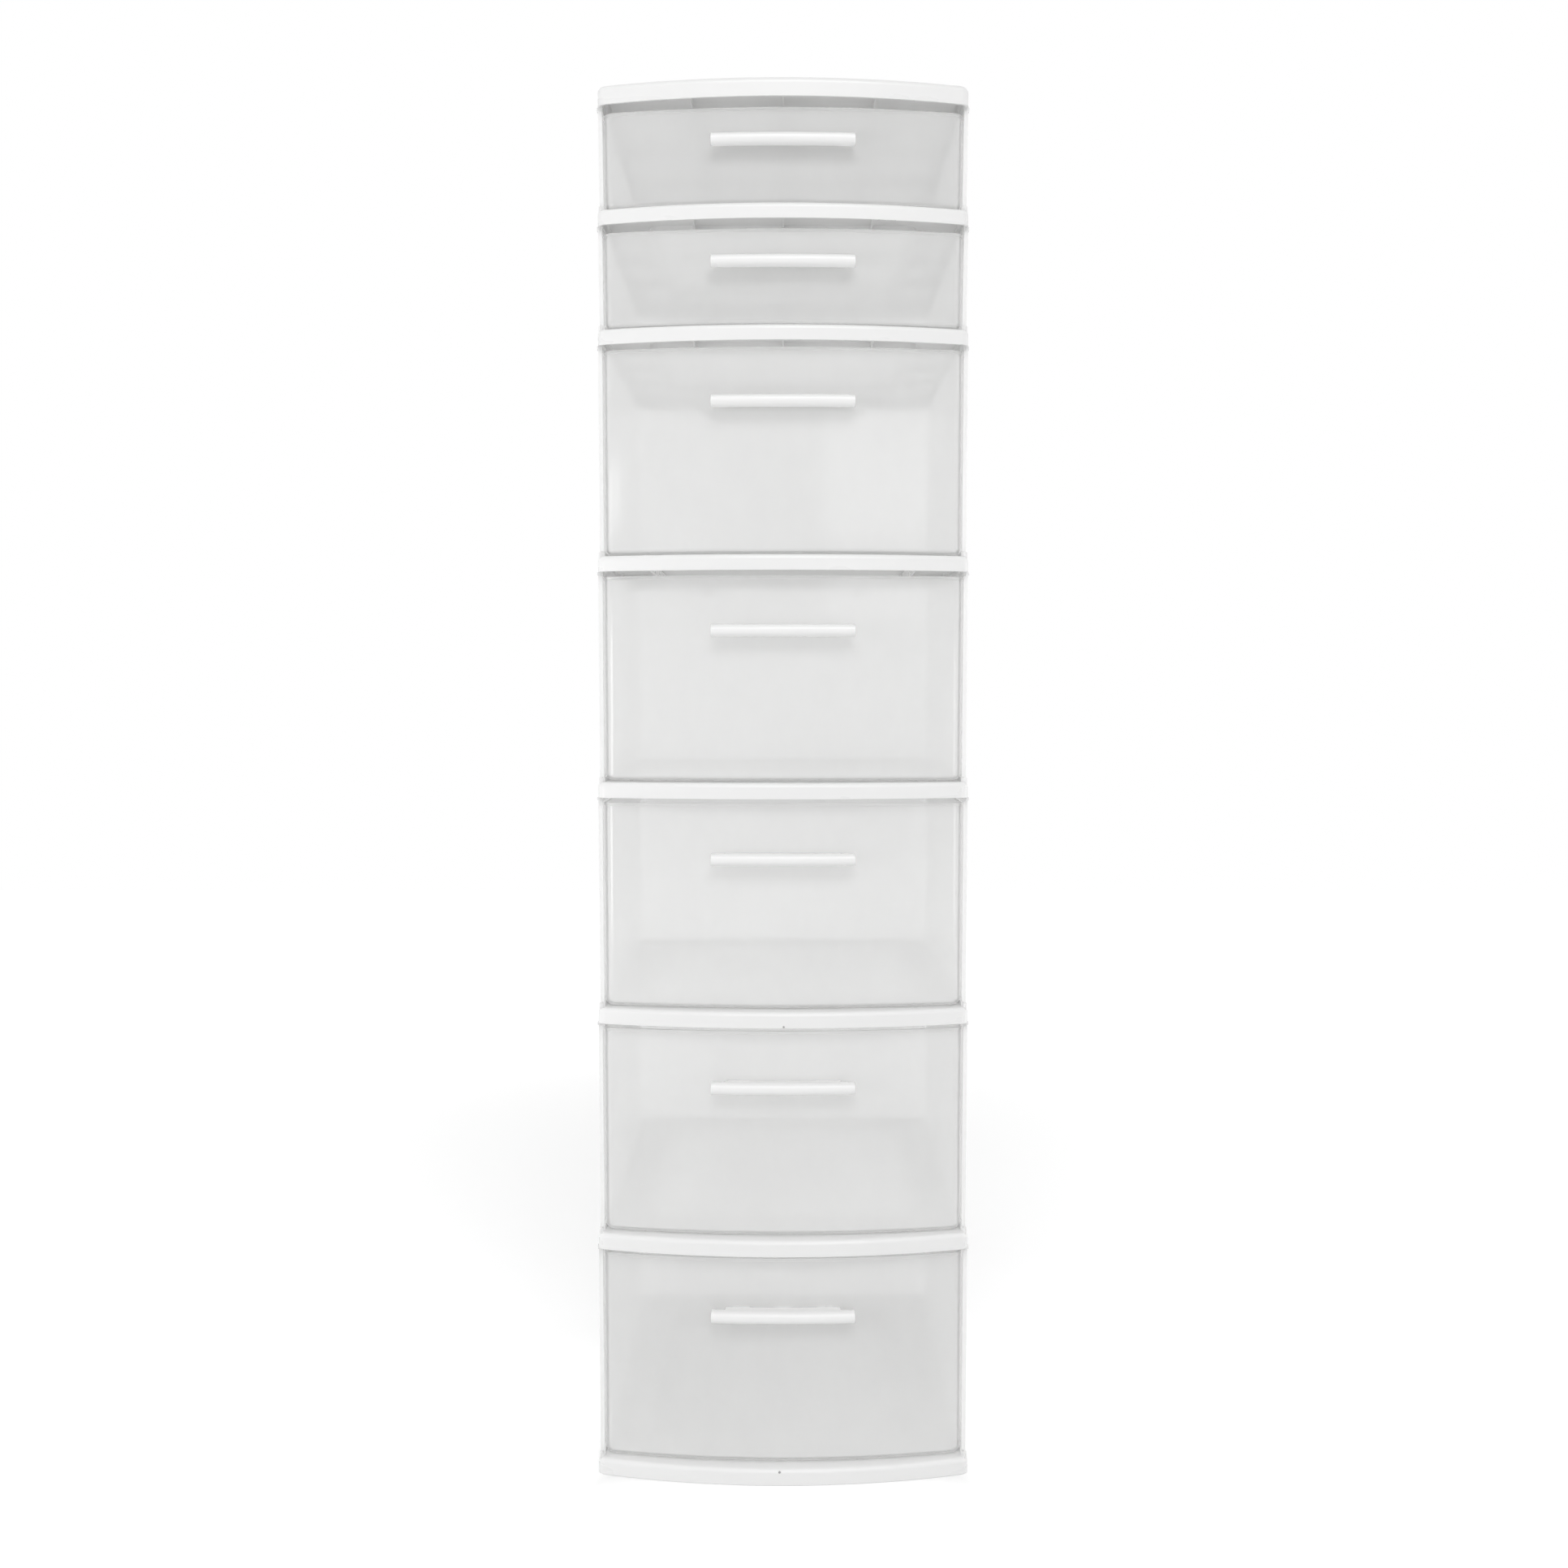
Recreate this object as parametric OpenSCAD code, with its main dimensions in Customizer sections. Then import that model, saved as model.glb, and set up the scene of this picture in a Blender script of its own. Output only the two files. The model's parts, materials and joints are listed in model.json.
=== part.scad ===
// Storage tower of seven pull-out drawers: two shallow ones over five deep ones.
// Each drawer has a tier of its own: a clear three-sided shell that plugs into the shelf frame
// under it and carries the frame or lid above it. Every front is bowed forwards.
// The origin is on the floor, under the middle of the tower. The drawers face -Y.

/* [Frames and lid] */
// Width across the frames
frame_w = 320; // [280:5:400]
// Depth of the frames from their front corners to the back
frame_d = 380; // [320:5:450]
// How far the middle of a frame's front stands ahead of its corners
front_bow = 24; // [18:1:32]
// Height of a shelf frame's edge
frame_h = 13.5; // [12:0.5:20]
// Height of the lid's edge
lid_h = 17; // [13:0.5:24]
// Wall thickness of the frames and the lid
frame_wall = 2.2; // [1.6:0.1:3]
// Radius of the frames' front corners, seen from above
frame_corner = 9; // [8:1:14]
// Radius of the frames' back corners, seen from above
back_corner = 14; // [12:1:24]
// Rounding of the shelf frames' upper edge
frame_edge = 4; // [3:0.5:6]
// Rounding of the lid's upper edge
lid_edge = 5.5; // [3:0.5:8]
// How far a shelf frame's edge rises at its front corners
ear_h = 4; // [2:0.5:6]
// Thickness of that rise
ear_t = 2.8; // [2:0.2:3.4]
// Depth of the shallow tray in the lid's top
lid_tray = 1.2; // [0.5:0.1:3]
// Depth of the ribs under the lid
lid_rib = 7; // [4:0.5:8]

/* [Frame opening] */
// Deck between the opening and the frame's sides
side_margin = 43; // [30:1:60]
// Deck between the opening and the frame's front corners
front_margin = 46; // [30:1:70]
// Deck between the opening and the frame's back
back_margin = 46; // [30:1:70]
// Radius of the opening's corners
opening_corner = 14; // [6:1:30]
// Height of the collar that hangs round the opening
collar_h = 9; // [6:0.5:10]
// Thickness of the ribs under the decks
rib_t = 1.6; // [1:0.1:2.5]
// Height of the ribs under the frames' decks
rib_h = 6; // [3:0.5:8]

/* [Shells] */
// Wall thickness of the shells
shell_wall = 2; // [1.4:0.1:2.6]
// Thickness of the flange round a shell's top
flange_t = 2.5; // [1.5:0.1:4]
// How far the flange stands out past the frames
flange_out = 1; // [0.5:0.1:2]
// Depth of the groove that a shell plugs into
groove_d = 4; // [2:0.5:5]
// Thickness of the frame's lip outside the groove
lip_t = 1.4; // [1:0.1:2]
// Thickness of the guide rib inside the groove
guide_t = 2; // [1:0.1:3]
// Height of the guide rib above the deck
guide_h = 4; // [2:0.5:8]
// Depth of the thicker band at a shell's front edges
band_d = 6; // [3:0.5:12]
// How far that band thickens the wall
band_t = 1.4; // [0.5:0.1:1.6]

/* [Snap fit] */
// Thickness of the rim that a frame pushes into the shell below it
rim_t = 1.6; // [1.2:0.1:2.6]
// Height of that rim
rim_h = 3; // [1.5:0.5:3.5]
// Width of a snap tongue
tongue_w = 16; // [8:1:30]
// Distance from a shell's top to its snap windows
window_drop = 4.5; // [4:0.5:8]
// Height of a snap window
window_h = 4; // [3:0.5:6]
// How far a tongue's hook reaches into its window
hook_out = 1.5; // [0.8:0.1:1.6]

/* [Tiers] */
// Height of a shallow tier, from one frame to the next
shallow_pitch = 103; // [80:1:140]
// Height of a deep tier, from one frame to the next
deep_pitch = 195; // [150:1:240]

/* [Drawers] */
// How far the middle of a drawer's front stands ahead of its corners
drawer_bow = 18; // [10:1:22]
// Ledge left in front of a drawer's front corners
ledge = 5; // [3:0.5:10]
// Wall thickness of the drawers
drawer_wall = 2; // [1.4:0.1:3]
// Radius of the drawers' upright corners
drawer_corner = 11; // [10:1:20]
// Rounding between a drawer's walls and its floor
drawer_fillet = 5; // [3.5:0.5:7]
// How far a wall leans out between floor and rim
drawer_draft = 1.2; // [0.4:0.1:1.8]
// How far the rim's bead stands out
bead_out = 0.6; // [0.5:0.1:1.6]
// Height of the rim's bead
bead_h = 3; // [2:0.5:6]
// Space over a shallow drawer
shallow_space = 6; // [4:0.5:12]
// Space over a deep drawer
deep_space = 4; // [4:0.5:12]
// Width of the skids under a drawer
skid_w = 3; // [2:0.5:8]
// Height of the skids under a drawer
skid_h = 1.2; // [0.6:0.1:3]
// Distance from a drawer's side to its skid
skid_inset = 22; // [15:1:28]
// Width of a stop under a drawer's floor
stop_w = 18; // [10:1:40]
// Thickness of a stop
stop_t = 4; // [2:0.5:8]
// How far a stop reaches down past the deck's top
stop_drop = 6; // [4:0.5:9]
// Space behind the stops while a drawer is shut
stop_back = 5.5; // [2:0.5:10]

/* [Handles] */
// Length of a handle's bar
bar_l = 120; // [80:2:180]
// Height of the bar
bar_h = 10.5; // [8:0.5:16]
// How far a handle stands out from its drawer
handle_reach = 16; // [14:0.5:24]
// Finger space between the bar and the drawer
finger_d = 8; // [6:0.5:8]
// Width of the web between the bar and the drawer
web_l = 98; // [60:2:110]
// Thickness of the web
web_t = 3; // [2:0.1:4]
// Step from the bar's top down to the web
web_step = 0.4; // [0.2:0.1:1]
// Handle's middle below the frame above, on a shallow drawer
shallow_drop = 36; // [25:1:45]
// Handle's middle below the frame above, on a deep drawer
deep_drop = 51.5; // [30:0.5:90]
// Width of a handle's snap tab
tab_w = 14; // [6:1:20]
// Distance between the tabs
tab_pitch = 36; // [22:1:40]
// How far a tab reaches past the drawer's wall
tab_l = 5; // [3:0.5:9]
// Height of a tab's barb
barb_h = 1; // [0.5:0.1:1.5]

/* [Fits] */
// Clearance of pieces that plug together
fit_gap = 0.2; // [0.1:0.05:0.4]
// Clearance between a skid and its deck
slide_gap = 0.3; // [0.2:0.05:0.6]
// Clearance beside a drawer's bead
run_gap = 0.6; // [0.5:0.1:2]
// Clearance behind a shut drawer
shut_gap = 1.2; // [0.5:0.1:3]

/* [Hidden] */
TIERS = [1 : 7];
SHELVES = [1 : 6];
$fn = 96;

// Tiers count from the top. The first ones are shallow.
shallow_tiers = 2;
last_tier = 7;
// How far a piece reaches into the one that it is fused with, and a cut past the piece it cuts
sink = 1;
// How far a rib reaches into the wall or deck that it stiffens
root = 0.5;
// Points on a deck's polygon along the bow and round each corner
bow_steps = 24;
corner_steps = 6;
// How far a corner's rise stands back from the frame's outer face
ear_inset = 0.6;
// How far a corner's rise follows the corner, in degrees
ear_turn = 34;
// Facets of a whole turn about a bow's distant axis
bow_fn = 720;

white = [0.95, 0.95, 0.94];
clear = [0.84, 0.86, 0.86, 0.55];

// Heights. A frame's number is that of the tier above it, so frame 0 is the lid.
function pitch(i) = i <= shallow_tiers ? shallow_pitch : deep_pitch;
function frame_z(i) = i >= last_tier ? 0 : frame_z(i + 1) + pitch(i + 1);
function shell_h(i) = pitch(i) - frame_h + groove_d;
function drawer_z(i) = frame_z(i) + frame_h + slide_gap + skid_h;
function drawer_h(i) =
    frame_z(i - 1) - drawer_z(i) - (i <= shallow_tiers ? shallow_space : deep_space);
function handle_z(i) = frame_z(i - 1) - (i <= shallow_tiers ? shallow_drop : deep_drop);
// How far a drawer's front leans back at its handle
function lean(i) =
    drawer_draft * (drawer_z(i) + drawer_h(i) - handle_z(i)) / (drawer_h(i) - drawer_fillet);

// Frame section
leg = frame_corner - sink;
groove_w = shell_wall + 2 * fit_gap;
groove_in = lip_t + groove_w;
guide_in = groove_in + guide_t;
rim_out = shell_wall + fit_gap;
rim_in = rim_out + rim_t;
shell_draft = lip_t + fit_gap;

// Frame opening
opening_w = frame_w - 2 * side_margin;
opening_d = frame_d - front_margin - back_margin;
snap_y = [0.3 * frame_d, 0.75 * frame_d];
snap_x = [-frame_w / 4, frame_w / 4];

// Drawer
drawer_w = frame_w - 2 * (rim_in + run_gap + bead_out);
drawer_back = frame_d - guide_in - shut_gap - bead_out;
skid_x = drawer_w / 2 - skid_inset;
floor_leg = drawer_fillet + sink;
stop_y = front_margin + opening_d - stop_back - stop_t;
stop_x = opening_w / 4;

// Handle
bar_r = bar_h / 2;
web_top = bar_r - web_step;

// An outline seen from above: width, depth at the sides, bow, front radius, back radius and
// the Y of its front corners. The bow's angle is rounded so that neighbouring sweeps meet.
FRAME = [frame_w, frame_d, front_bow, frame_corner, back_corner, 0];
DRAWER = [drawer_w, drawer_back - ledge, drawer_bow, drawer_corner, drawer_corner, ledge];

function chord_r(o) = (o[0] * o[0] / 4 + o[2] * o[2]) / (2 * o[2]);
function bow_a(o) = round(100 * asin((o[0] / 2 - o[3]) / (chord_r(o) - o[3]))) / 100;
function bow_r(o) = o[3] + (o[0] / 2 - o[3]) / sin(bow_a(o));
function bow_y(o) = o[5] - o[2] + bow_r(o);
function front_y(o) = bow_y(o) - (bow_r(o) - o[3]) * cos(bow_a(o));
function back_y(o) = o[5] + o[1] - o[4];
function degrees(o, s) = s / bow_r(o) * 180 / PI;

// The tower's middle, between the handles' fronts and the flanges' backs
handle_front = ledge - drawer_bow - handle_reach;
middle_y = (handle_front + frame_d + flange_out) / 2;

// Moves by whole millimetres and then by the rest, which keeps every digit of the place
module shift(v) {
    translate([for (c = v) floor(c)])
        translate([for (c = v) c - floor(c)])
            children();
}

// Sweeps a section along an outline's bow and round its front corners.
// The section's X points outwards from the outline.
module sweep_front(o) {
    a = bow_a(o);
    shift([0, bow_y(o), 0])
        rotate_extrude(angle = 2 * a, start = 270 - a)
            shift([bow_r(o), 0]) children();
    for (side = [0, 1])
        mirror([side, 0, 0])
            shift([o[0] / 2 - o[3], front_y(o), 0])
                rotate_extrude(angle = 90 - a, start = 270 + a)
                    translate([o[3], 0]) children();
}

// Sweeps a section along an outline's sides and back. A side is two runs that meet at a whole
// millimetre.
module sweep_back(o) {
    yf = front_y(o);
    ym = ceil(yf);
    yb = back_y(o);
    for (side = [0, 1])
        mirror([side, 0, 0]) {
            for (run = [[yf, ym], [ym, yb]])
                shift([o[0] / 2, run[0], 0])
                    along_y(run[1] - run[0]) children();
            translate([o[0] / 2 - o[4], yb, 0])
                rotate_extrude(angle = 90, start = 0)
                    translate([o[4], 0]) children();
        }
    translate([o[4] - o[0] / 2, yb + o[4], 0])
        along_x(o[0] - 2 * o[4]) children();
}

// Extrudes a section whose X points to +X
module along_y(l) {
    rotate([90, 0, 0]) mirror([0, 0, 1]) linear_extrude(l) children();
}

// Extrudes a section whose X points to +Y
module along_x(l) {
    rotate([90, 0, 90]) linear_extrude(l) children();
}

// Sweeps a section along the bow only, w wide and x from the middle
module sweep_bow(o, x, w) {
    shift([0, bow_y(o), 0])
        rotate_extrude(angle = degrees(o, w), start = 270 + degrees(o, x - w / 2), $fn = bow_fn)
            shift([bow_r(o), 0]) children();
}

function arc(c, r, from, to, n) =
    [for (k = [0 : n]) let (t = from + (to - from) * k / n) c + r * [cos(t), sin(t)]];

// Points of an outline, drawn in by inset
function plan(o, inset) =
    let (a = bow_a(o), xf = o[0] / 2 - o[3], xb = o[0] / 2 - o[4], yf = front_y(o), yb = back_y(o))
    concat(
        arc([0, bow_y(o)], bow_r(o) - inset, 270 - a, 270 + a, bow_steps),
        arc([xf, yf], o[3] - inset, 270 + a, 360, corner_steps),
        arc([xb, yb], o[4] - inset, 0, 90, corner_steps),
        arc([-xb, yb], o[4] - inset, 90, 180, corner_steps),
        arc([-xf, yf], o[3] - inset, 180, 270 - a, corner_steps)
    );

// Section l deep and h high, with its outer upper corner rounded
module round_edge(l, h, r) {
    translate([-l, 0]) square([l, h - r]);
    translate([-l, 0]) square([l - r, h]);
    translate([-r, h - r]) quarter(r);
}

module quarter(r) {
    intersection() {
        circle(r);
        square(r);
    }
}

// Rectangle about the origin with round corners
module round_rect(w, d, r) {
    square([w - 2 * r, d], center = true);
    square([w, d - 2 * r], center = true);
    for (x = [-1, 1], y = [-1, 1])
        translate([x * (w / 2 - r), y * (d / 2 - r)]) circle(r);
}

// Edge of a frame or lid at the front: a skirt that turns into the deck
module front_section(h, r) {
    difference() {
        round_edge(leg, h, r);
        translate([-frame_wall, -frame_wall]) round_edge(leg, h, r - frame_wall);
    }
}

// Edge at the sides and back of a shelf frame: skirt, shell groove and guide rib
module side_section() {
    difference() {
        union() {
            round_edge(guide_in, frame_h, frame_edge);
            translate([-leg, frame_h - frame_wall]) square([leg - lip_t, frame_wall]);
            translate([-guide_in, frame_h - sink]) square([guide_t, guide_h + sink]);
        }
        translate([-guide_in - sink, -sink])
            square([guide_in + sink - frame_wall, frame_h - groove_d - frame_wall + sink]);
        translate([-groove_in, frame_h - groove_d]) square([groove_w, groove_d + sink]);
    }
}

// Rim that stands inside the top of the shell below
module rim_section() {
    translate([-rim_in, -rim_h]) square([rim_t, rim_h]);
    translate([-rim_in, 0]) square([rim_in - sink, rim_h]);
}

// Hooked tongue that springs into a shell's window
module tongue_section() {
    hook_top = -window_drop - fit_gap;
    hook_low = -window_drop - window_h + fit_gap;
    polygon([
        [-rim_in, rim_h], [-rim_in, hook_low], [-rim_out, hook_low],
        [-rim_out + hook_out, hook_top - hook_out / 2], [-rim_out + hook_out, hook_top],
        [-rim_out, hook_top], [-rim_out, rim_h]
    ]);
}

// Extrudes a section w wide at each snap of the sides and back
module at_snaps(w) {
    for (side = [0, 1], y = snap_y)
        mirror([side, 0, 0])
            translate([frame_w / 2, y - w / 2, 0]) along_y(w) children();
    for (x = snap_x)
        translate([x - w / 2, frame_d, 0]) along_x(w) children();
}

module plug() {
    sweep_back(FRAME) rim_section();
    at_snaps(tongue_w) tongue_section();
}

// Ribs between the opening's collar and the edge
module frame_ribs() {
    low = frame_h - frame_wall - rib_h;
    difference() {
        translate([0, 0, low])
            linear_extrude(rib_h + root)
                intersection() {
                    polygon(plan(FRAME, guide_in - root));
                    union() {
                        for (x = [-1, 0, 1])
                            translate([x * opening_w / 3 - rib_t / 2, -front_bow])
                                square([rib_t, frame_d + front_bow]);
                        for (y = [0.2, 0.5, 0.8])
                            translate([-frame_w / 2, front_margin + y * opening_d - rib_t / 2])
                                square([frame_w, rib_t]);
                    }
                }
        translate([0, front_margin + opening_d / 2, low - sink])
            linear_extrude(rib_h + 3 * sink) round_rect(opening_w, opening_d, opening_corner);
    }
}

// The opening in plan, grown by extra all round
module opening(extra = 0) {
    translate([0, front_margin + opening_d / 2])
        round_rect(opening_w + 2 * extra, opening_d + 2 * extra, opening_corner + extra);
}

// Shelf frame without its plug: bowed fascia, deck, collar and ribs
module frame() {
    sweep_front(FRAME) front_section(frame_h, frame_edge);
    sweep_back(FRAME) side_section();
    translate([0, 0, frame_h - frame_wall])
        linear_extrude(frame_wall)
            difference() {
                polygon(plan(FRAME, leg - sink));
                opening();
            }
    translate([0, 0, frame_h - collar_h])
        linear_extrude(collar_h)
            difference() {
                opening(frame_wall);
                opening();
            }
    frame_ribs();
    ears();
}

// Rise at a front corner, rooted in the rounded edge, with its own top rounded
module ear_section() {
    top = frame_h + ear_h;
    translate([-ear_inset, 0])
        polygon([
            [-ear_t, frame_h - sink], [0, frame_h - frame_edge + sink],
            [0, top - ear_t / 2], [-ear_t, top - ear_t / 2]
        ]);
    translate([-ear_inset - ear_t / 2, top - ear_t / 2])
        circle(ear_t / 2);
}

// The rises at both front corners, just ahead of a shell's front edges
module ears() {
    from = asin(fit_gap / (frame_corner - ear_inset - ear_t));
    for (side = [0, 1])
        mirror([side, 0, 0])
            shift([frame_w / 2 - frame_corner, front_y(FRAME), 0])
                rotate_extrude(angle = ear_turn, start = 360 - from - ear_turn)
                    translate([frame_corner, 0]) ear_section();
}

// Puts a piece on the level of frame i
module at_frame(i) {
    shift([0, -middle_y, frame_z(i)]) children();
}

module base_frame() {
    color(white) at_frame(last_tier) frame();
}

module shelf_frame(i) {
    color(white)
        at_frame(i) {
            frame();
            plug();
        }
}

module lid() {
    plate_z = lid_h - lid_tray - frame_wall;
    color(white)
        at_frame(0) {
            sweep_front(FRAME) front_section(lid_h, lid_edge);
            sweep_back(FRAME) front_section(lid_h, lid_edge);
            plug();
            translate([0, 0, plate_z])
                linear_extrude(frame_wall) polygon(plan(FRAME, leg - sink));
            translate([0, 0, plate_z - lid_rib])
                linear_extrude(lid_rib + root)
                    intersection() {
                        polygon(plan(FRAME, frame_wall - root));
                        union() {
                            for (x = [-1, 0, 1])
                                translate([x * frame_w / 4 - rib_t / 2, -front_bow])
                                    square([rib_t, frame_d + front_bow]);
                            for (y = [1, 2, 3])
                                translate([-frame_w / 2, y * frame_d / 4 - rib_t / 2])
                                    square([frame_w, rib_t]);
                        }
                    }
        }
}

// Wall of a shell: it leans in by shell_draft towards its foot and carries the flange
module shell_section(h) {
    polygon([
        [-shell_draft, 0], [0, h - flange_t], [flange_out, h - flange_t], [flange_out, h],
        [-shell_wall, h], [-shell_wall, h - flange_t], [-shell_draft - shell_wall, 0]
    ]);
}

// Thicker band down a shell's front edge, between the guide rib and the rim of the next frame
module band_section(h) {
    low = groove_d + guide_h + fit_gap;
    high = h - rim_h - fit_gap;
    low_x = -shell_draft * (1 - low / h) - shell_wall;
    polygon([
        [low_x - band_t, low], [low_x + sink, low],
        [sink - shell_wall, high], [-shell_wall - band_t, high]
    ]);
}

module tier_shell(i) {
    h = shell_h(i);
    color(clear)
        shift([0, -middle_y, frame_z(i) + frame_h - groove_d])
            difference() {
                union() {
                    sweep_back(FRAME) shell_section(h);
                    for (side = [0, 1])
                        mirror([side, 0, 0])
                            shift([frame_w / 2, front_y(FRAME), 0])
                                along_y(band_d) band_section(h);
                }
                translate([0, 0, h - window_drop - window_h])
                    at_snaps(tongue_w + 2 * fit_gap)
                        translate([-rim_in, 0]) square([rim_in + sink, window_h]);
            }
}

// Wall of a drawer, from its rounded foot to the bead round its rim
module drawer_section(h) {
    x = -drawer_draft;
    t = drawer_wall;
    r = drawer_fillet;
    polygon([[x, r], [0, h], [-t, h], [x - t, r]]);
    translate([x - r, r])
        mirror([0, 1])
            difference() {
                quarter(r);
                circle(r - t);
            }
    translate([x - floor_leg, 0]) square([floor_leg - r, t]);
    translate([-t, h - bead_h]) square([t + bead_out, bead_h]);
}

// What goes through a drawer's front: the section of a handle's tab, grown by extra
module tab_section(extra = 0) {
    translate([-drawer_wall - tab_l, web_top - web_t - extra])
        square([drawer_wall + tab_l + sink, web_t + 2 * extra]);
}

module drawer(i) {
    h = drawer_h(i);
    color(clear)
        shift([0, -middle_y, drawer_z(i)])
            difference() {
                union() {
                    sweep_front(DRAWER) drawer_section(h);
                    sweep_back(DRAWER) drawer_section(h);
                    linear_extrude(drawer_wall)
                        polygon(plan(DRAWER, drawer_draft + floor_leg - sink));
                    for (x = [-skid_x, skid_x])
                        translate([x - skid_w / 2, ledge + skid_inset, -skid_h])
                            cube([skid_w, DRAWER[1] - 2 * skid_inset, skid_h + sink]);
                    for (x = [-stop_x, stop_x])
                        translate([x - stop_w / 2, stop_y, -skid_h - slide_gap - stop_drop])
                            cube([stop_w, stop_t, stop_drop + skid_h + slide_gap + sink]);
                }
                translate([0, 0, handle_z(i) - drawer_z(i)])
                    at_tabs(2 * fit_gap) tab_section(fit_gap);
            }
}

// Sweeps a section along the drawers' bow at each snap tab, wider by extra
module at_tabs(extra = 0) {
    for (k = [-1, 0, 1])
        sweep_bow(DRAWER, k * tab_pitch, tab_w + extra) children();
}

module handle(i) {
    wall_x = fit_gap - lean(i);
    barb_l = tab_l + wall_x - 2 * fit_gap;
    color(white)
        shift([0, -middle_y, handle_z(i)]) {
            sweep_bow(DRAWER, 0, bar_l) {
                translate([finger_d, -bar_r]) square([handle_reach - bar_r - finger_d, bar_h]);
                intersection() {
                    translate([handle_reach - bar_r, 0]) circle(bar_r);
                    translate([finger_d, -bar_r]) square([handle_reach, bar_h]);
                }
            }
            sweep_bow(DRAWER, 0, web_l)
                translate([wall_x, web_top - web_t])
                    square([finger_d + sink - wall_x, web_t]);
            at_tabs() {
                tab_section();
                translate([-drawer_wall - tab_l, web_top])
                    polygon([[0, 0], [barb_l, 0], [barb_l, barb_h]]);
            }
        }
}

lid();
base_frame();
for (i = SHELVES)
    shelf_frame(i);
for (i = TIERS) {
    tier_shell(i);
    drawer(i);
    handle(i);
}
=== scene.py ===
"""Looks of a tall plastic drawer tower: white frames and pulls, frosted shells and drawers."""

import json
import math

import bmesh
import bpy
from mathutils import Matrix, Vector

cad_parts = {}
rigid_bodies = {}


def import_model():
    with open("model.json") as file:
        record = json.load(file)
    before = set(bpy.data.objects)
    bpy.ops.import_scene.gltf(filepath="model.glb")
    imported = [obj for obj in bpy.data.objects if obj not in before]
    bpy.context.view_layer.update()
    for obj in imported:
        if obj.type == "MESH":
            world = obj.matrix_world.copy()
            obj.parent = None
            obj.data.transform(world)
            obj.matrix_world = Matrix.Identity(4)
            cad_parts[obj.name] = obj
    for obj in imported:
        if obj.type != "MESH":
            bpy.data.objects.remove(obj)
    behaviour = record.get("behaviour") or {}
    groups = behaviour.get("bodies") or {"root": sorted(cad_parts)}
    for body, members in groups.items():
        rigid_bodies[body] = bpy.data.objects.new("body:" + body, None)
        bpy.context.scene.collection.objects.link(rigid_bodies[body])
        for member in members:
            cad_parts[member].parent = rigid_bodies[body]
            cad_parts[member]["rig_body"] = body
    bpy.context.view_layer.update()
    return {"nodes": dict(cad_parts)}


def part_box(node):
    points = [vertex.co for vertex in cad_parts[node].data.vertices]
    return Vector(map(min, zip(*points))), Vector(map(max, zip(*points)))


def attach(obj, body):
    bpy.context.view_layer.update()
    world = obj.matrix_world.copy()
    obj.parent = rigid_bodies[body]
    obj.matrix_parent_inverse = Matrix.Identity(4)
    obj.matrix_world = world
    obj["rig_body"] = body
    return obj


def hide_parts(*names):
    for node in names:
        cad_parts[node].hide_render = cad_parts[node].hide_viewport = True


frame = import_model()
nodes = frame["nodes"]

MM = 0.001
TIERS = range(1, 8)
SHELVES = range(1, 7)
WHITE_SLOT = "white_plastic"
FROSTED_SLOT = "frosted_plastic"

# Outputs of a Light Path node
IS_CAMERA, IS_SHADOW, IS_DIFFUSE, IS_GLOSSY, IS_TRANSMISSION = 0, 1, 2, 3, 6

# ---------------------------------------------------------------- camera
CAMERA_AT = (0.0008, -1.7086, 0.6712)
CAMERA_TILT = 0.5  # degrees below the horizon
LENS = 40.81
SENSOR = 36.0
SHIFT_Y = -0.045

camera_data = bpy.data.cameras.new("view")
camera_data.lens = LENS
camera_data.sensor_width = SENSOR
camera_data.shift_y = SHIFT_Y
camera_data.clip_start = 0.05
camera_data.clip_end = 40
camera = bpy.data.objects.new("view", camera_data)
camera.location = CAMERA_AT
camera.rotation_euler = (math.radians(90 - CAMERA_TILT), 0, 0)
bpy.context.scene.collection.objects.link(camera)
bpy.context.scene.camera = camera


# ---------------------------------------------------------------- node tools
class Value:
    """A number in a node tree. Sums, products and quotients of values add Math nodes."""

    def __init__(self, graph, socket):
        self.graph = graph
        self.socket = socket

    def _math(self, operation, first, second=0.0, clamp=False):
        settings = {"operation": operation, "use_clamp": clamp}
        return self.graph.node("ShaderNodeMath", settings, {0: first, 1: second})[0]

    def __add__(self, other):
        return self._math("ADD", self, other)

    def __sub__(self, other):
        return self._math("SUBTRACT", self, other)

    def __rsub__(self, other):
        return self._math("SUBTRACT", other, self)

    def __mul__(self, other):
        return self._math("MULTIPLY", self, other)

    def __truediv__(self, other):
        return self._math("DIVIDE", self, other)

    def __neg__(self):
        return self._math("MULTIPLY", self, -1.0)

    __radd__ = __add__
    __rmul__ = __mul__

    def clamped(self):
        """Held between 0 and 1."""
        return self._math("ADD", self, 0.0, clamp=True)

    def greatest(self, other):
        return self._math("MAXIMUM", self, other)

    def below(self, other):
        """1 where the value is less than other, 0 elsewhere."""
        return self._math("LESS_THAN", self, other)

    def cosine(self):
        return self._math("COSINE", self)

    def arcsine(self):
        return self._math("ARCSINE", self)


class Graph:
    """A node tree under construction."""

    def __init__(self, tree):
        self.tree = tree
        self.tree.nodes.clear()

    def node(self, kind, settings=None, inputs=None):
        """Adds a node. Its settings come first, then its sockets' values or links."""
        made = self.tree.nodes.new(kind)
        for name, value in (settings or {}).items():
            setattr(made, name, value)
        for name, value in (inputs or {}).items():
            for one in value if isinstance(value, list) else [value]:
                if isinstance(one, Value):
                    self.tree.links.new(one.socket, made.inputs[name])
                else:
                    made.inputs[name].default_value = one
        return [Value(self, out) for out in made.outputs]


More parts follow.
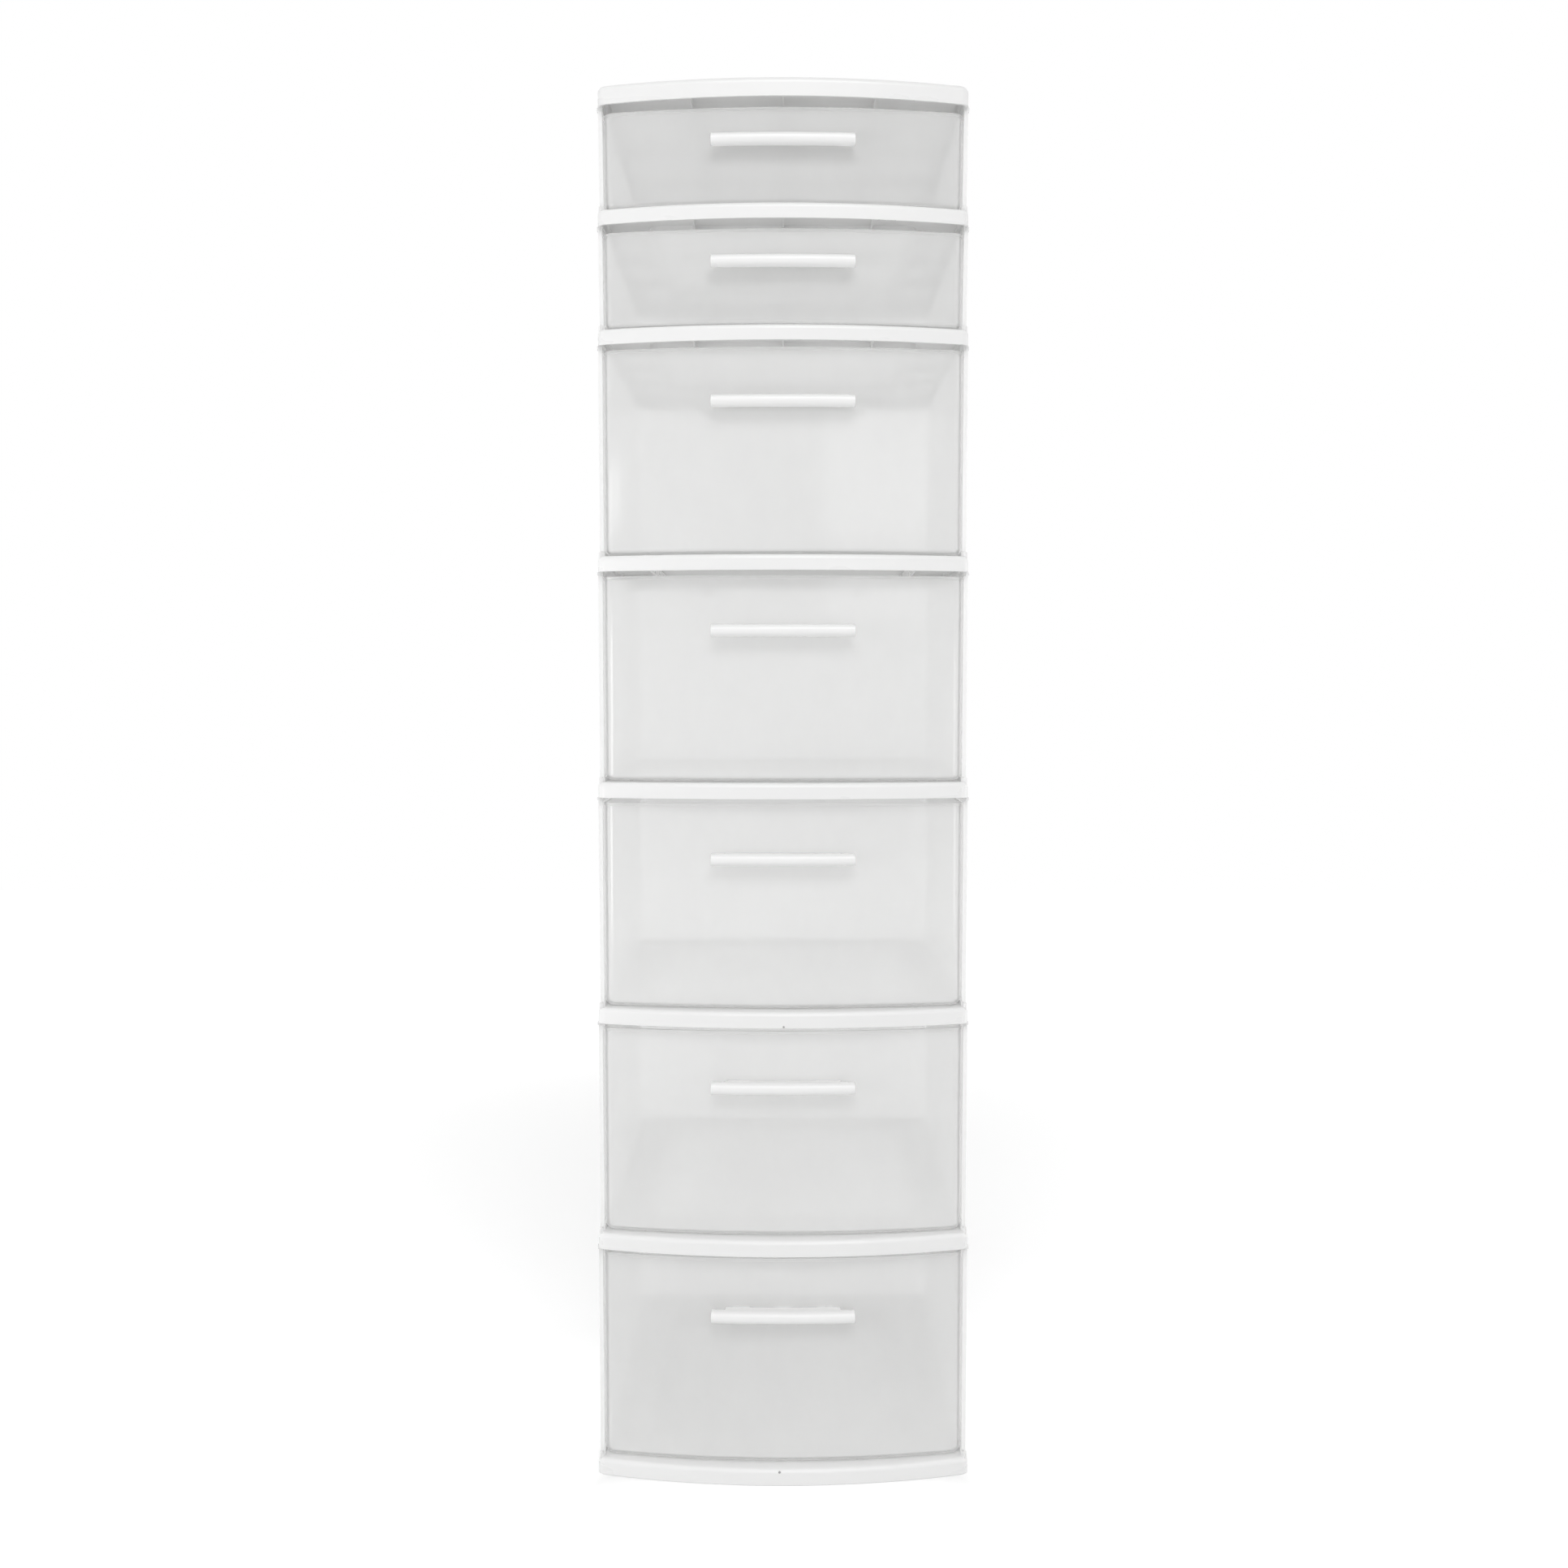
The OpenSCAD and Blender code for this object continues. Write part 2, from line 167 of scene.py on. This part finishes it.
class Finish(Graph):
    """A material under construction."""

    def __init__(self, name):
        self.material = bpy.data.materials.new(name)
        self.material.use_nodes = True
        super().__init__(self.material.node_tree)

    def place(self):
        """Object coordinates, in metres."""
        return self.node("ShaderNodeTexCoord")[3]

    def noise(self, scale, detail=2.0, roughness=0.5, stretch=None):
        """Noise about 0.5, with so many lumps to a metre."""
        where = self.place()
        if stretch:
            where = self.node("ShaderNodeMapping", {}, {"Vector": where, "Scale": stretch})[0]
        return self.node(
            "ShaderNodeTexNoise",
            {},
            {"Vector": where, "Scale": scale, "Detail": detail, "Roughness": roughness},
        )[0]

    def between(self, value, low, high, to_low=0.0, to_high=1.0):
        """Carries a value from one range to another, held at its ends."""
        return self.node(
            "ShaderNodeMapRange",
            {"clamp": True},
            {"Value": value, 1: low, 2: high, 3: to_low, 4: to_high},
        )[0]

    def tint(self, factor, a, b):
        """Colour between a and b."""
        return self.node(
            "ShaderNodeMix",
            {"data_type": "RGBA"},
            {0: factor, 6: (*a, 1.0), 7: (*b, 1.0)},
        )[2]

    def bump(self, height, strength, distance, normal=None):
        """A normal that follows a height, on top of another normal where one is given."""
        inputs = {"Height": height, "Strength": strength, "Distance": distance}
        if normal is not None:
            inputs["Normal"] = normal
        return self.node("ShaderNodeBump", {}, inputs)[0]

    def out(self, shader):
        """Ends the tree with a shader and gives its material."""
        self.node("ShaderNodeOutputMaterial", {}, {"Surface": shader})
        return self.material


def white_polypropylene(name, low, high):
    """Opaque white polypropylene: satin gloss, a fine moulded skin, edges rubbed a little smoother.

    low and high are the ends of its slight change of brightness.
    """
    warmth = 0.997
    f = Finish(name)
    broad = f.noise(9.0, 3.0)
    fine = f.noise(900.0, 2.0, 0.6)
    flow = f.noise(22.0, 3.0, 0.55, stretch=(0.35, 1.0, 2.6))
    soft_edge = f.node("ShaderNodeBevel", {"samples": 4}, {"Radius": 0.5 * MM})[0]
    pointiness = f.node("ShaderNodeNewGeometry")[7]
    rubbed = f.between(pointiness, 0.52, 0.60)
    scuffs = f.between(f.noise(160.0, 4.0, 0.65, stretch=(0.4, 1.0, 3.0)), 0.60, 0.72)
    colour = f.tint(broad, (low, low, low * warmth), (high, high, high * warmth))
    rough = (
        f.between(flow, 0.3, 0.7, 0.30, 0.40) - rubbed * 0.08 + scuffs * 0.10
    ).clamped()
    skin = f.bump(fine, 0.06, 0.1 * MM, soft_edge)
    shader = f.node(
        "ShaderNodeBsdfPrincipled",
        {},
        {
            "Base Color": colour,
            "Roughness": rough,
            "Normal": skin,
            "IOR": 1.49,
        },
    )[0]
    return f.out(shader)


def frosted_polypropylene(name, veil, edge_on, tint_low, tint_high, thick_to=None):
    """Natural polypropylene: a thin milky veil, a blur of what is behind it, and a glossy skin.

    veil is how much of the view one skin hides when seen square on, and edge_on when seen
    along it, where the path through the milky wall is longer. Ahead of the depth thick_to the
    wall is seen end on, so it is milky through and through. The blur grows with the distance
    behind the wall. Shadow and diffuse rays pass straight through, so light gets in.
    """
    blur, bend = 0.15, 1.2
    passed = (0.993, 0.993, 0.993, 1.0)
    end_on, end_depth = 0.90, 2 * MM
    square_gloss, grazing_gloss = 0.04, 0.36
    f = Finish(name)
    broad = f.noise(5.0, 2.0)
    clouds = f.noise(14.0, 3.0, 0.55, stretch=(1.0, 1.0, 0.6))
    fine = f.noise(420.0, 2.0, 0.6)
    streaks = f.noise(30.0, 3.0, 0.6, stretch=(1.0, 1.0, 0.12))
    colour = f.tint(f.between(broad, 0.3, 0.7), tint_low, tint_high)
    rough = f.between(clouds, 0.3, 0.7, 0.12, 0.20)
    scuffs = f.between(f.noise(210.0, 4.0, 0.7, stretch=(0.5, 0.5, 3.0)), 0.62, 0.74)
    wavy = f.bump(streaks, 0.03, 0.5 * MM)
    skin = f.bump(fine, 0.015, 0.1 * MM, wavy)
    gloss = f.node(
        "ShaderNodeBsdfPrincipled",
        {},
        {
            "Base Color": colour,
            "Roughness": (rough + scuffs * 0.08).clamped(),
            "Normal": skin,
            "Specular IOR Level": 0.0,
        },
    )[0]
    glow = f.node("ShaderNodeBsdfTranslucent", {}, {"Color": colour})[0]
    slant = f.node("ShaderNodeLayerWeight", {}, {"Blend": 0.5})[1]
    longer = slant * slant * slant
    body = f.node("ShaderNodeMixShader", {}, {0: 0.30 - longer * 0.1, 1: gloss, 2: glow})[0]
    sharp = f.node("ShaderNodeBsdfTransparent", {}, {"Color": passed})[0]
    blurred = f.node(
        "ShaderNodeBsdfRefraction", {}, {"Color": passed, "Roughness": blur, "IOR": bend}
    )[0]
    rays = f.node("ShaderNodeLightPath")
    straight = rays[IS_SHADOW].greatest(rays[IS_DIFFUSE])
    clear = f.node("ShaderNodeMixShader", {}, {0: straight, 1: blurred, 2: sharp})[0]
    haze = longer * (edge_on - veil) + f.between(clouds, 0.2, 0.8, veil - 0.02, veil + 0.02)
    outside = 1.0 - f.node("ShaderNodeNewGeometry")[6]
    mirror = (longer * slant * slant * grazing_gloss + square_gloss) * outside
    polish = f.node(
        "ShaderNodeBsdfAnisotropic",
        {},
        {"Color": (1.0, 1.0, 1.0, 1.0), "Roughness": 0.12, "Normal": skin},
    )[0]
    if thick_to is not None:
        depth = f.node("ShaderNodeSeparateXYZ", {}, {0: f.place()})[1]
        haze = haze.greatest(f.between(depth, thick_to + end_depth, thick_to, 0.0, end_on))
    wall = f.node("ShaderNodeMixShader", {}, {0: haze, 1: clear, 2: body})[0]
    return f.out(f.node("ShaderNodeMixShader", {}, {0: mirror, 1: wall, 2: polish})[0])


FRAME_WHITE = white_polypropylene("white_polypropylene", 0.81, 0.835)
HANDLE_WHITE = white_polypropylene("handle_polypropylene", 0.83, 0.86)
GATE_SCAR = white_polypropylene("gate_scar", 0.30, 0.42)
SHELL_FROST = frosted_polypropylene(
    "frosted_shell", 0.28, 0.80, (0.945, 0.945, 0.943), (0.96, 0.96, 0.958), -165 * MM
)
DRAWER_FROST = frosted_polypropylene(
    "frosted_drawer", 0.38, 0.90, (0.945, 0.945, 0.943), (0.96, 0.96, 0.958)
)


# ---------------------------------------------------------------- pieces
def smooth(mesh, crease):
    """Smooth shading, with edges that turn by more than crease degrees kept sharp."""
    mesh.polygons.foreach_set("use_smooth", [True] * len(mesh.polygons))
    mesh.set_sharp_from_angle(angle=math.radians(crease))


def dress(node_name, finish, crease=28):
    """A smooth-shaded piece in place of a node, with its loose triangles joined."""
    node = nodes[node_name]
    mesh = node.data.copy()
    mesh.name = node_name + "_skin"
    work = bmesh.new()
    work.from_mesh(mesh)
    bmesh.ops.remove_doubles(work, verts=work.verts, dist=2e-6)
    bmesh.ops.dissolve_degenerate(work, edges=work.edges, dist=1e-6)
    work.to_mesh(mesh)
    work.free()
    for layer in list(mesh.attributes):
        if layer.name == "custom_normal":
            mesh.attributes.remove(layer)
    mesh.materials.clear()
    mesh.materials.append(finish)
    smooth(mesh, crease)
    piece = bpy.data.objects.new(node_name + "_moulding", mesh)
    bpy.context.scene.collection.objects.link(piece)
    weighted = piece.modifiers.new("even_faces", "WEIGHTED_NORMAL")
    weighted.keep_sharp = True
    weighted.weight = 80
    bpy.context.view_layer.update()
    graph = bpy.context.evaluated_depsgraph_get()
    done = bpy.data.meshes.new_from_object(piece.evaluated_get(graph))
    piece.modifiers.clear()
    piece.data = done
    bpy.data.meshes.remove(mesh)
    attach(piece, node["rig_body"])
    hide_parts(node_name)
    return piece


# Sizes of the mouldings, in metres, as they are in the solids
FRAME_W = 320 * MM
DECK_OPENING_W = FRAME_W - 86 * MM
FRAME_H = 13.5 * MM
SHALLOW_PITCH, DEEP_PITCH = 103 * MM, 195 * MM
WALL = 2 * MM
LEDGE = 5 * MM
DRAWER_W = 310 * MM
DRAWER_D = 367.4 * MM
DRAWER_BOW = 18 * MM
DRAWER_CORNER = 11 * MM
FOOT_R = 5 * MM
DRAFT = 1.2 * MM
BEAD_OUT, BEAD_H = 0.6 * MM, 3 * MM
LIP_R = 0.5 * MM
FLOOR_INSET = DRAFT + FOOT_R + 1 * MM
SKID_W, SKID_H, SKID_INSET = 3 * MM, 1.2 * MM, 22 * MM
STOP_W, STOP_T, STOP_H = 18 * MM, 4 * MM, 7.5 * MM
STOP_X = DECK_OPENING_W / 4
STOP_FROM_FRONT = 326.5 * MM
FRONT_TO_MIDDLE = 176 * MM
DRAWER_LIFT = 1.5 * MM
SCAR_BASE_X, SCAR_SHELF_X = -3 * MM, 0.5 * MM
SCAR_SHELF = 5


class Recipe(Graph):
    """A Geometry Nodes tree under construction, with named sizes."""

    def __init__(self, name, sizes):
        super().__init__(bpy.data.node_groups.new(name, "GeometryNodeTree"))
        face = self.tree.interface
        face.new_socket("Geometry", in_out="OUTPUT", socket_type="NodeSocketGeometry")
        self.keys = {}
        for label, kind in sizes.items():
            socket = face.new_socket(label, in_out="INPUT", socket_type="NodeSocket" + kind)
            self.keys[label] = socket.identifier
        made = self.node("NodeGroupInput")
        self.sizes = dict(zip(sizes, made))

    def moved(self, shape, x=0.0, y=0.0, z=0.0):
        """The shape carried by that much along each axis."""
        at = self.node("ShaderNodeCombineXYZ", {}, {0: x, 1: y, 2: z})[0]
        return self.node(
            "GeometryNodeTransform", {}, {"Geometry": shape, "Translation": at}
        )[0]

    def joined(self, *shapes):
        """The shapes in this order. A join takes its last link first."""
        return self.node("GeometryNodeJoinGeometry", {}, {0: list(reversed(shapes))})[0]

    def finish(self, shape, finish):
        """Ends the tree with plain geometry in one finish."""
        real = self.node("GeometryNodeRealizeInstances", {}, {0: shape})[0]
        last = self.node("GeometryNodeSetMaterial", {}, {"Geometry": real, "Material": finish})[0]
        self.node("NodeGroupOutput", {}, {0: last})

    def make(self, name, **values):
        """The tree's result for these sizes, as a plain mesh."""
        carrier = bpy.data.objects.new(name, bpy.data.meshes.new(name + "_start"))
        bpy.context.scene.collection.objects.link(carrier)
        grow = carrier.modifiers.new("grow", "NODES")
        grow.node_group = self.tree
        for label, value in values.items():
            grow[self.keys[label]] = value
        bpy.context.view_layer.update()
        graph = bpy.context.evaluated_depsgraph_get()
        mesh = bpy.data.meshes.new_from_object(carrier.evaluated_get(graph))
        mesh.name = name
        bpy.data.objects.remove(carrier)
        if mesh.materials[0] is None:
            mesh.materials.pop(index=0)
            mesh.polygons.foreach_set("material_index", [0] * len(mesh.polygons))
        return mesh


def outline(r):
    """The drawers' outline seen from above: a bow and four round corners."""
    w, d, bow = r.sizes["Width"], r.sizes["Depth"], r.sizes["Bow"]
    corner, front = r.sizes["Corner"], r.sizes["Front line"]
    chord = (w * w * 0.25 + bow * bow) / (bow * 2.0)
    half = w * 0.5 - corner
    a = (half / (chord - corner)).arcsine()
    centre = front - bow + chord
    corner_y = centre - (chord - corner) * a.cosine()
    back_y = front + d - corner
    turn = 2 * math.pi
    arcs = [
        (0.0, centre, chord, 0.75 * turn - a, a * 2.0, 49),
        (half, corner_y, corner, 0.75 * turn + a, 0.25 * turn - a, 10),
        (half, back_y, corner, 0.0, 0.25 * turn, 12),
        (-half, back_y, corner, 0.25 * turn, 0.25 * turn, 12),
        (-half, corner_y, corner, 0.5 * turn, 0.25 * turn - a, 10),
    ]
    runs = []
    for x, y, radius, start, sweep, points in arcs:
        arc = r.node(
            "GeometryNodeCurveArc",
            {"mode": "RADIUS"},
            {"Resolution": points, "Radius": radius, "Start Angle": start, "Sweep Angle": sweep},
        )[0]
        runs.append(r.moved(arc, x, y))
    dots = r.node("GeometryNodeCurveToPoints", {"mode": "EVALUATED"}, {0: r.joined(*runs)})[0]
    dots = r.node("GeometryNodeMergeByDistance", {}, {"Geometry": dots, "Distance": 1e-6})[0]
    line = r.node("GeometryNodePointsToCurves", {}, {"Points": dots})[0]
    return r.node("GeometryNodeSetSplineCyclic", {}, {"Geometry": line, "Cyclic": True})[0]


def box_at(r, size, x, y, z):
    """A box of that size about a point."""
    span = r.node("ShaderNodeCombineXYZ", {}, dict(enumerate(size)))[0]
    return r.moved(r.node("GeometryNodeMeshCube", {}, {"Size": span})[0], x, y, z)


def fill_ring(r, wall, chosen):
    """A flat face across one open ring of a wall, on the level 0."""
    ring = r.node("GeometryNodeMeshToCurve", {}, {"Mesh": wall, "Selection": chosen})[0]
    return r.node("GeometryNodeFillCurve", {"mode": "NGONS"}, {0: ring})[0]


def drawer_recipe():
    """A drawer: its wall's section swept round the outline, a floor, skids and stops."""
    r = Recipe(
        "drawer_sweep",
        {
            "Width": "Float",
            "Depth": "Float",
            "Bow": "Float",
            "Corner": "Float",
            "Front line": "Float",
            "Floor level": "Float",
            "Floor thickness": "Float",
            "Skid width": "Float",
            "Skid height": "Float",
            "Skid inset": "Float",
            "Stop width": "Float",
            "Stop thickness": "Float",
            "Stop height": "Float",
            "Stop line": "Float",
            "Section": "Object",
            "Finish": "Material",
        },
    )
    g = r.sizes
    path = r.node("GeometryNodeSetCurveNormal", {"mode": "Z_UP"}, {0: outline(r)})[0]
    section = r.node("GeometryNodeObjectInfo", {}, {"Object": g["Section"]})[4]
    wall = r.node(
        "GeometryNodeCurveToMesh", {}, {"Curve": path, "Profile Curve": section}
    )[0]
    wall = r.node("GeometryNodeFlipFaces", {}, {"Mesh": wall})[0]
    middle = g["Floor thickness"] * 0.5
    height = r.node("ShaderNodeSeparateXYZ", {}, {0: r.node("GeometryNodeInputPosition")[0]})[2]
    low_end = height.below(middle)
    open_edge = r.node("GeometryNodeInputMeshEdgeNeighbors")[0].below(1.5)
    under = fill_ring(r, wall, open_edge * low_end)
    over = r.moved(fill_ring(r, wall, open_edge * (1.0 - low_end)), z=g["Floor thickness"])
    under = r.node("GeometryNodeFlipFaces", {}, {"Mesh": under})[0]
    tub = r.joined(wall, under, over)
    tub = r.node("GeometryNodeMergeByDistance", {}, {"Geometry": tub, "Distance": 2e-6})[0]
    sunk = 0.4 * MM
    skid_l = g["Depth"] - g["Skid inset"] * 2.0
    skid_y = g["Front line"] + g["Depth"] * 0.5
    skid_x = g["Width"] * 0.5 - g["Skid inset"]
    skid_size = (g["Skid width"], skid_l, g["Skid height"] + sunk)
    stop_size = (g["Stop width"], g["Stop thickness"], g["Stop height"] + sunk)
    feet = []
    for side in (-1.0, 1.0):
        feet.append(
            box_at(r, skid_size, skid_x * side, skid_y, (g["Skid height"] - sunk) * -0.5)
        )
        feet.append(
            box_at(
                r,
                stop_size,
                STOP_X * side,
                g["Stop line"],
                (g["Stop height"] - sunk) * -0.5,
            )
        )
    whole = r.moved(r.joined(tub, *feet), z=g["Floor level"])
    r.finish(whole, g["Finish"])
    return r


def turn_points(cx, cy, radius, start, end, steps):
    """Points of an arc in a section."""
    out = []
    for k in range(steps + 1):
        t = math.radians(start + (end - start) * k / steps)
        out.append((cx + radius * math.cos(t), cy + radius * math.sin(t)))
    return out


def drawer_section(height):
    """Section of a drawer's wall, from the floor's underside round the rim to the floor's top."""
    foot_x = -DRAFT - FOOT_R
    bead_low = height - BEAD_H
    wall_at_bead = -DRAFT * BEAD_H / (height - FOOT_R)
    points = [(-FLOOR_INSET, 0.0)]
    points += turn_points(foot_x, FOOT_R, FOOT_R, -90, 0, 8)
    points += [(wall_at_bead, bead_low)]
    points += turn_points(BEAD_OUT - LIP_R, bead_low + LIP_R, LIP_R, -90, 0, 3)
    points += turn_points(BEAD_OUT - LIP_R, height - LIP_R, LIP_R, 0, 90, 3)
    points += turn_points(-WALL + LIP_R, height - LIP_R, LIP_R, 90, 180, 3)
    points += turn_points(foot_x, FOOT_R, FOOT_R - WALL, 0, -90, 6)
    points += [(-FLOOR_INSET, WALL)]
    return points


def section_line(name, points):
    """A section as an open line that a recipe can sweep."""
    data = bpy.data.curves.new(name, "CURVE")
    data.dimensions = "3D"
    spline = data.splines.new("POLY")
    spline.points.add(len(points) - 1)
    for dot, (x, z) in zip(spline.points, points):
        dot.co = (x, -z, 0.0, 1.0)
    line = bpy.data.objects.new(name, data)
    bpy.context.scene.collection.objects.link(line)
    return line


def place_piece(name, mesh, body, slot, *stands_for):
    """A finished piece, with its place in its mesh, that moves with a body."""
    piece = bpy.data.objects.new(name, mesh)
    bpy.context.scene.collection.objects.link(piece)
    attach(piece, body)
    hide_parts(*stands_for)
    return piece


def frame_level(i):
    """Height of frame i. A frame's number is that of the tier above it."""
    return sum(SHALLOW_PITCH if tier <= 2 else DEEP_PITCH for tier in TIERS if tier > i)


def gate_recipe():
    """Scars where the plastic ran into the mould: a low cone on the base and one on a shelf."""
    r = Recipe(
        "gate_scars",
        {
            "Radius": "Float",
            "Height": "Float",
            "Front line": "Float",
            "Base level": "Float",
            "Shelf level": "Float",
            "Finish": "Material",
        },
    )
    g = r.sizes
    shape = {
        "Vertices": 16,
        "Radius Top": g["Radius"] * 0.6,
        "Radius Bottom": g["Radius"],
        "Depth": g["Height"],
    }
    cone = r.node("GeometryNodeMeshCone", {}, shape)[0]
    forwards = r.node(
        "GeometryNodeTransform", {}, {"Geometry": cone, "Rotation": (math.radians(90), 0, 0)}
    )[0]
    sunk = g["Front line"] + g["Height"] * 0.4
    scars = r.joined(
        r.moved(forwards, SCAR_BASE_X, sunk, g["Base level"]),
        r.moved(forwards, SCAR_SHELF_X, sunk, g["Shelf level"]),
    )
    r.finish(scars, g["Finish"])
    return r


def make_gate_scars(radius=1.1 * MM):
    """Both scars in one piece, on the cabinet."""
    low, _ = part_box("base_frame")
    mesh = gate_recipe().make(
        "gate_scars",
        **{
            "Radius": radius,
            "Height": 0.7 * MM,
            "Front line": low.y,
            "Base level": FRAME_H - 2 * radius,
            "Shelf level": frame_level(SCAR_SHELF) + 1.2 * radius,
            "Finish": GATE_SCAR,
        },
    )
    smooth(mesh, 40)
    place_piece("gate_scars", mesh, nodes["base_frame"]["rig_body"], WHITE_SLOT)


def make_drawer(i):
    """The tub of drawer i, on that drawer's body."""
    _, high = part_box(f"drawer_{i}")
    floor_level = frame_level(i) + FRAME_H + DRAWER_LIFT
    section = section_line(f"drawer_section_{i}", drawer_section(high.z - floor_level))
    mesh = DRAWER_RECIPE.make(
        f"drawer_{i}_tub",
        **{
            "Width": DRAWER_W,
            "Depth": DRAWER_D,
            "Bow": DRAWER_BOW,
            "Corner": DRAWER_CORNER,
            "Front line": LEDGE - FRONT_TO_MIDDLE,
            "Floor level": floor_level,
            "Floor thickness": WALL,
            "Skid width": SKID_W,
            "Skid height": SKID_H,
            "Skid inset": SKID_INSET,
            "Stop width": STOP_W,
            "Stop thickness": STOP_T,
            "Stop height": STOP_H,
            "Stop line": STOP_FROM_FRONT - FRONT_TO_MIDDLE,
            "Section": section,
            "Finish": DRAWER_FROST,
        },
    )
    bpy.data.objects.remove(section)
    smooth(mesh, 40)
    place_piece(f"drawer_{i}_tub", mesh, f"drawer_unit_{i}", FROSTED_SLOT, f"drawer_{i}")


DRAWER_RECIPE = drawer_recipe()
for frame_name in ["lid", "base_frame"] + [f"shelf_frame_{i}" for i in SHELVES]:
    dress(frame_name, FRAME_WHITE)
for i in TIERS:
    dress(f"tier_shell_{i}", SHELL_FROST)
    dress(f"handle_{i}", HANDLE_WHITE)
    make_drawer(i)
make_gate_scars()


# ---------------------------------------------------------------- floor, backdrop and light
def seen(f):
    """1 where a surface is looked at, straight, in a reflection or through a wall."""
    rays = f.node("ShaderNodeLightPath")
    return rays[IS_CAMERA].greatest(rays[IS_GLOSSY]).greatest(rays[IS_TRANSMISSION])


def floor_paint():
    """Pale floor that shows white where no shadow falls on it, and stays dim under the tower."""
    foot_x, clear_x = 0.14, 0.17
    foot_y, clear_y = 0.17, 0.21
    near, far, near_level, far_level = 0.5, 2.0, 0.34, 0.62
    f = Finish("floor_paint")
    matt = f.node("ShaderNodeBsdfDiffuse", {}, {"Color": (0.86, 0.86, 0.86, 1.0)})[0]
    at = f.node("ShaderNodeSeparateXYZ", {}, {0: f.place()})
    across, along = at[0] * at[0], at[1] * at[1]
    beside = f.between(across, foot_x**2, clear_x**2)
    clear = beside.greatest(f.between(along, foot_y**2, clear_y**2))
    level = f.between(across + along, near**2, far**2, near_level, far_level)
    lift = f.node(
        "ShaderNodeEmission",
        {},
        {"Color": (1.0, 1.0, 1.0, 1.0), "Strength": seen(f) * clear * level},
    )[0]
    return f.out(f.node("ShaderNodeAddShader", {}, {0: matt, 1: lift})[0])


def add_floor(size=9.0, drop=0.2 * MM):
    """A square floor just below the tower's foot."""
    mesh = bpy.data.meshes.new("floor")
    half = size / 2
    corners = [(-half, -half), (half, -half), (half, half), (-half, half)]
    mesh.from_pydata([(x, y, -drop) for x, y in corners], [], [(0, 1, 2, 3)])
    mesh.materials.append(floor_paint())
    floor = bpy.data.objects.new("floor", mesh)
    bpy.context.scene.collection.objects.link(floor)


def add_lamp(name, at, aim, size, power):
    """A soft rectangular lamp that faces the point it is aimed at, and isn't seen itself."""
    data = bpy.data.lights.new(name, "AREA")
    data.shape = "RECTANGLE"
    data.size, data.size_y = size
    data.energy = power
    lamp = bpy.data.objects.new(name, data)
    lamp.location = at
    facing = (Vector(aim) - Vector(at)).to_track_quat("-Z", "Y")
    lamp.rotation_euler = facing.to_euler()
    lamp.visible_camera = False
    lamp.visible_transmission = False
    bpy.context.scene.collection.objects.link(lamp)


def add_world(level):
    """Even studio light. What looks straight at the backdrop sees plain white."""
    world = bpy.data.worlds.new("studio")
    world.use_nodes = True
    f = Graph(world.node_tree)
    strength = seen(f) * (1.0 - level) + level
    backdrop = f.node(
        "ShaderNodeBackground", {}, {"Color": (1.0, 1.0, 1.0, 1.0), "Strength": strength}
    )[0]
    f.node("ShaderNodeOutputWorld", {}, {"Surface": backdrop})
    bpy.context.scene.world = world


add_floor()
add_world(0.47)
add_lamp("high_softbox", (0.2, -2.9, 3.4), (0, 0, 0.5), (2.0, 1.4), 59)
add_lamp("left_softbox", (-2.1, -1.6, 0.30), (0, 0, 0.20), (0.9, 0.9), 12)
add_lamp("low_softbox", (2.1, -1.6, 0.25), (0, 0, 0.15), (0.9, 0.9), 6)
add_lamp("right_softbox", (0.8, -2.6, 1.0), (0, 0, 0.8), (0.9, 0.45), 1.5)
add_lamp("left_side_softbox", (-1.5, 0.15, 0.60), (0, 0.05, 0.55), (0.9, 1.2), 3.9)
add_lamp("right_side_softbox", (1.5, 0.15, 0.60), (0, 0.05, 0.55), (0.9, 1.2), 5.4)
add_lamp("strip_lamp", (-0.96, -0.76, 0.89), (-0.15, -0.18, 0.79), (0.95, 0.12), 0.9)

scene = bpy.context.scene
scene.view_settings.view_transform = "Standard"
scene.cycles.transparent_max_bounces = 40
scene.cycles.max_bounces = 24
scene.cycles.diffuse_bounces = 12
scene.cycles.transmission_bounces = 24
